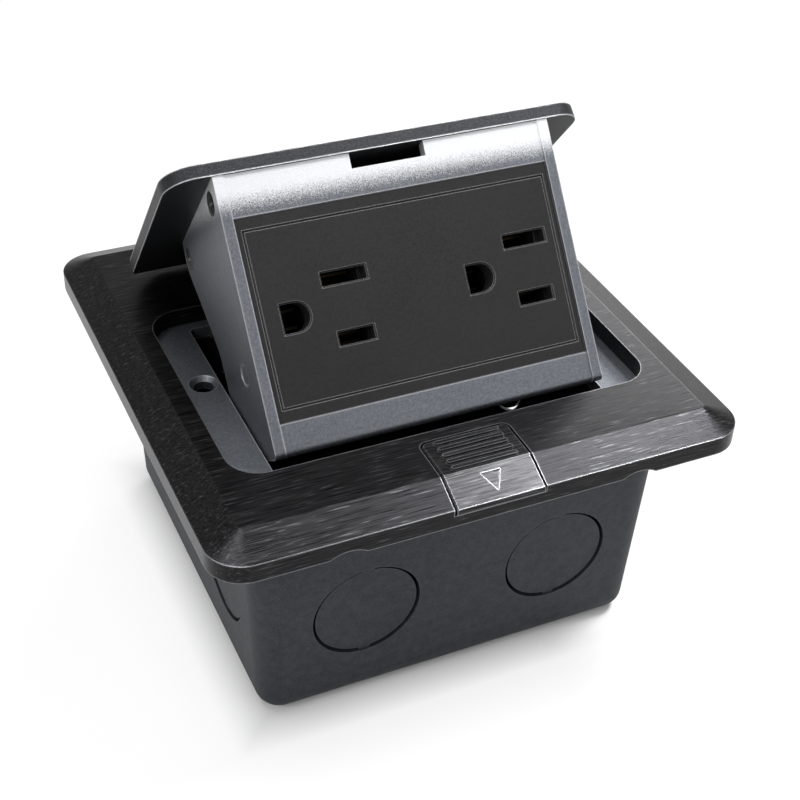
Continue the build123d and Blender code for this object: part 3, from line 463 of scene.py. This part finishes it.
def makeFloor(look):
    half = look["size"] / 2
    corners = [(-half, -half, 0), (half, -half, 0), (half, half, 0), (-half, half, 0)]
    mesh = bpy.data.meshes.new("floor")
    mesh.from_pydata(corners, [], [(0, 1, 2, 3)])
    floor = bpy.data.objects.new("floor", mesh)
    bpy.context.scene.collection.objects.link(floor)
    s = newShader("paleFloor")
    path = s.node("ShaderNodeLightPath")
    seen = s.maths("MAXIMUM", path["Is Camera Ray"], path["Is Glossy Ray"])
    spot = s.node("ShaderNodeSeparateXYZ", {}, {0: s.place()})
    away = s.maths("MAXIMUM", s.maths("ABSOLUTE", spot["X"]), s.maths("ABSOLUTE", spot["Y"]))
    clear = s.spread(away, look["footprint"], look["footprint"] + look["footprintFade"])
    share = s.spread(away, look["nearWhite"], look["farWhite"], look["nearShare"], 1.0)
    matt = s.node("ShaderNodeBsdfDiffuse", {}, {"Color": look["colour"]})
    glow = s.node("ShaderNodeEmission", {}, {"Color": white, "Strength": 1.0})
    blend = s.node("ShaderNodeMixShader", {}, {0: seen * clear * share, 1: matt, 2: glow})
    mesh.materials.append(s.close(blend))


makeFloor(floorLook)

roomLook = {
    "light": 0.3,
    "seenInGloss": 0.25,  # share of the white background that shows in reflections
}


def makeRoom(look):
    world = bpy.data.worlds.new("paleRoom")
    bpy.context.scene.world = world
    s = Shader(world, "ShaderNodeOutputWorld")
    path = s.node("ShaderNodeLightPath")
    seen = s.maths("MAXIMUM", path["Is Camera Ray"], path["Is Glossy Ray"] * look["seenInGloss"])
    light = s.node("ShaderNodeBackground", {}, {"Color": white, "Strength": look["light"]})
    plain = s.node("ShaderNodeBackground", {}, {"Color": white, "Strength": 1.0})
    s.close(s.node("ShaderNodeMixShader", {}, {0: seen, 1: light, 2: plain}))


makeRoom(roomLook)

lamps = {
    "top": {"place": (-0.15, 0.1, 0.85), "aim": (0, 0, 0.05), "size": (0.5, 0.4), "power": 4.5},
    "left": {"place": (-0.6, -0.3, 0.5), "aim": (0, 0, 0.05), "size": (0.5, 0.4), "power": 2.5},
    "bevel": {"place": (0.38, -0.02, 0.68), "aim": (0.02, -0.05, 0.06), "size": (0.2, 0.12), "power": 4.5},
    "front": {"place": (0.5, -0.6, 0.3), "aim": (0, 0, 0.06), "size": (0.5, 0.4), "power": 0.9},
    "back": {"place": (0.5, 0.5, 0.36), "aim": (0, 0, 0.06), "size": (0.3, 0.3), "power": 2.4},
}


def hangLamp(name, place, aim, size, power):
    data = bpy.data.lights.new(name, "AREA")
    data.shape = "RECTANGLE"
    data.size, data.size_y = size
    data.energy = power
    lamp = bpy.data.objects.new(name, data)
    bpy.context.scene.collection.objects.link(lamp)
    lamp.location = place
    lamp.rotation_euler = (Vector(aim) - Vector(place)).to_track_quat("-Z", "Y").to_euler()


for lampName, settings in lamps.items():
    hangLamp(lampName + "Lamp", **settings)

# Camera, from the fit of the plate's corners in the photo

cameraFit = {
    "turn": (2.182, -0.450, 0.278),
    "shift": (-4.401, -13.927, 342.155),  # in millimetres, as the next one
    "plateEdge": 60.3,
    "millimetre": 0.001,
    "focal": 1494.99,  # in pixels of the picture
    "pictureWidth": 800,
    "sensorWidth": 36.0,
    "clipStart": 0.01,
}


def fittedCamera(fit):
    spin = Vector(fit["turn"])
    back = Matrix.Rotation(spin.length, 3, spin.normalized()).transposed()
    place = Vector((0, 0, fit["plateEdge"])) - back @ Vector(fit["shift"])
    data = bpy.data.cameras.new("camera")
    data.sensor_width = fit["sensorWidth"]
    data.lens = fit["focal"] / fit["pictureWidth"] * fit["sensorWidth"]
    data.clip_start = fit["clipStart"]
    camera = bpy.data.objects.new("camera", data)
    bpy.context.scene.collection.objects.link(camera)
    turned = back @ Matrix(((1, 0, 0), (0, -1, 0), (0, 0, -1)))  # the fit looks along +Z, with Y down
    camera.matrix_world = Matrix.Translation(place * fit["millimetre"]) @ turned.to_4x4()
    bpy.context.scene.camera = camera


fittedCamera(cameraFit)
bpy.context.scene.view_settings.view_transform = "Standard"
print("stage, lamps and camera ready")
